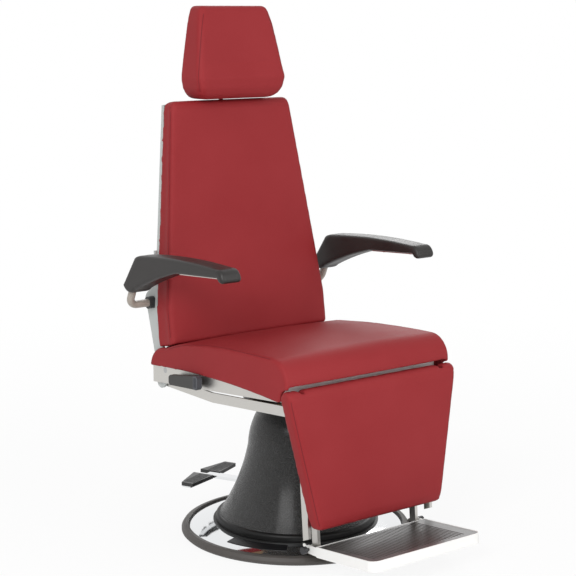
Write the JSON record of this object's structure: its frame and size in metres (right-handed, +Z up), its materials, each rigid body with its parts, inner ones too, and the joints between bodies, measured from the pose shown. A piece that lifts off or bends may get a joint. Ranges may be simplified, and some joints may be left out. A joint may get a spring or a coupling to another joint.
{
  "type": "ophthalmic examination chair",
  "caption": "Examination chair on a round weighted base with a pedal lift, swivelling seat, backrest and legrest that recline together, headrest, flip-up armrests and a footrest tray.",
  "frame": {"origin": "centre of the round base at floor level, on the lift axis", "axes": "+Z up along the lift axis, the sitter faces -Y, +X to the sitter's left"},
  "size_m": [0.714, 0.8869, 1.397],
  "materials": {
    "edge_rubber": "satin",
    "base_chrome": "polished",
    "ballast_iron": "raw",
    "badge_black": "gloss",
    "fastener_steel": "satin",
    "foot_plastic": "satin",
    "column_paint": "hammered",
    "pump_paint": "gloss",
    "piston_chrome": "polished",
    "pedal_chrome": "polished",
    "pedal_rubber": "ribbed",
    "bearing_steel": "satin",
    "frame_paint": "satin",
    "brushed_plate": "brushed",
    "white_paint": "satin",
    "plywood": "raw",
    "vinyl_red": "satin",
    "handle_plastic": "matt",
    "grip_plastic": "ribbed",
    "brake_steel": "satin",
    "grey_paint": "satin",
    "black_paint": "satin",
    "knob_plastic": "matt",
    "post_steel": "satin",
    "bush_plastic": "matt",
    "arm_tube_satin": "satin",
    "arm_pad_rubber": "grained",
    "guide_plastic": "matt",
    "tray_paint": "satin",
    "mat_rubber": "ribbed"
  },
  "bodies": {
    "base": {"base_edge_ring": "edge_rubber", "base_dome": "base_chrome", "base_ballast": "ballast_iron", "badge_plate": "badge_black", "base_bolts": "fastener_steel", "column_foot": "foot_plastic", "column_cover": "column_paint", "pump_housing": "pump_paint", "pedal_pivot_pin": "fastener_steel"},
    "pedal": {"pedal_lever": "pedal_chrome", "pedal_pads": "pedal_rubber"},
    "lift": {"lift_piston": "piston_chrome", "swivel_hub": "bearing_steel", "swivel_nut": "fastener_steel"},
    "seat": {"seat_mount_bracket": "frame_paint", "seat_cross_tubes": "frame_paint", "seat_plate_left": "brushed_plate", "seat_plate_right": "brushed_plate", "knee_strip": "white_paint", "seat_board": "plywood", "seat_cushion": "vinyl_red", "legrest_pivot_pins": "fastener_steel", "back_pivot_pins": "fastener_steel"},
    "release": {"release_shaft": "fastener_steel", "release_handle": "handle_plastic", "release_grip": "grip_plastic", "brake_shoe": "brake_steel"},
    "back": {"back_hinge_plate_left": "grey_paint", "back_hinge_plate_right": "grey_paint", "back_cross_bar": "grey_paint", "back_board": "plywood", "back_cushion": "vinyl_red", "back_panel": "grey_paint", "brake_sector": "brake_steel", "headrest_guide": "black_paint", "armrest_bushes": "bush_plastic"},
    "head_post": {"headrest_post": "post_steel"},
    "headrest": {"headrest_hinge_pin": "fastener_steel", "headrest_fork": "black_paint", "headrest_board": "plywood", "headrest_cushion": "vinyl_red"},
    "head_knob": {"headrest_knob": "knob_plastic"},
    "arm_left": {"armrest_tube_left": "arm_tube_satin", "armrest_pad_left": "arm_pad_rubber", "armrest_strip_left": "brushed_plate", "armrest_screws_left": "fastener_steel"},
    "arm_right": {"armrest_tube_right": "arm_tube_satin", "armrest_pad_right": "arm_pad_rubber", "armrest_strip_right": "brushed_plate", "armrest_screws_right": "fastener_steel"},
    "link": {"recline_link": "brushed_plate"},
    "legrest": {"legrest_bracket": "frame_paint", "legrest_board": "plywood", "legrest_cushion": "vinyl_red", "footrest_stays": "brushed_plate", "footrest_guides": "guide_plastic"},
    "footrest": {"footrest_frame": "brushed_plate", "footrest_knobs": "knob_plastic"},
    "tray": {"footrest_tray": "tray_paint", "footrest_mat": "mat_rubber"}
  },
  "joints": [
    {"name": "pedal_press", "type": "hinge", "parent": "base", "child": "pedal", "pos_m": [-0.03255, 0.07744, 0.112], "axis": [-0.9219, -0.3875, 0], "range_deg": [0, 15], "stiffness_Nm_per_rad": 20, "springref_deg": -20.05},
    {"name": "lift_slide", "type": "slide", "parent": "base", "child": "lift", "axis": [0, 0, 1], "range_m": [0, 0.2]},
    {"name": "seat_swivel", "type": "hinge", "parent": "lift", "child": "seat", "pos_m": [0, 0, 0.375], "axis": [0, 0, 1], "continuous": true},
    {"name": "backrest_recline", "type": "hinge", "parent": "seat", "child": "back", "pos_m": [0, 0.232, 0.436], "axis": [-1, 0, 0], "range_deg": [0, 78]},
    {"name": "legrest_swing", "type": "hinge", "parent": "seat", "child": "legrest", "pos_m": [0, -0.302, 0.453], "axis": [-1, 0, 0], "range_deg": [0, 78]},
    {"name": "link_swing", "type": "hinge", "parent": "back", "child": "link", "pos_m": [0, 0.264, 0.4], "axis": [-1, 0, 0], "range_deg": [-78, 0]},
    {"name": "release_lift", "type": "hinge", "parent": "seat", "child": "release", "pos_m": [-0.26, 0.15, 0.424], "axis": [-1, 0, 0], "range_deg": [0, 18], "stiffness_Nm_per_rad": 2, "springref_deg": -17.19},
    {"name": "headrest_height", "type": "slide", "parent": "back", "child": "head_post", "axis": [0, 0, 1], "range_m": [0, 0.08]},
    {"name": "headrest_tilt", "type": "hinge", "parent": "head_post", "child": "headrest", "pos_m": [0, 0.331, 1.262], "axis": [-1, 0, 0], "range_deg": [-3, 25]},
    {"name": "headrest_knob_turn", "type": "hinge", "parent": "back", "child": "head_knob", "pos_m": [0, 0.331, 1.09], "axis": [0, 1, 0], "continuous": true},
    {"name": "armrest_left_lift", "type": "hinge", "parent": "back", "child": "arm_left", "pos_m": [0.27, 0.298, 0.612], "axis": [-1, 0, 0], "range_deg": [0, 95]},
    {"name": "armrest_right_lift", "type": "hinge", "parent": "back", "child": "arm_right", "pos_m": [-0.27, 0.298, 0.612], "axis": [-1, 0, 0], "range_deg": [0, 95]},
    {"name": "footrest_extend", "type": "slide", "parent": "legrest", "child": "footrest", "axis": [0, -0.0859, -0.9963], "range_m": [0, 0.03]},
    {"name": "tray_tilt", "type": "hinge", "parent": "footrest", "child": "tray", "pos_m": [0, -0.281, 0.054], "axis": [-1, 0, 0], "range_deg": [-10, 6]}
  ],
  "couplings": [
    {"joint": "legrest_swing", "follows": "backrest_recline", "ratio": 1},
    {"joint": "link_swing", "follows": "backrest_recline", "ratio": -1}
  ]
}
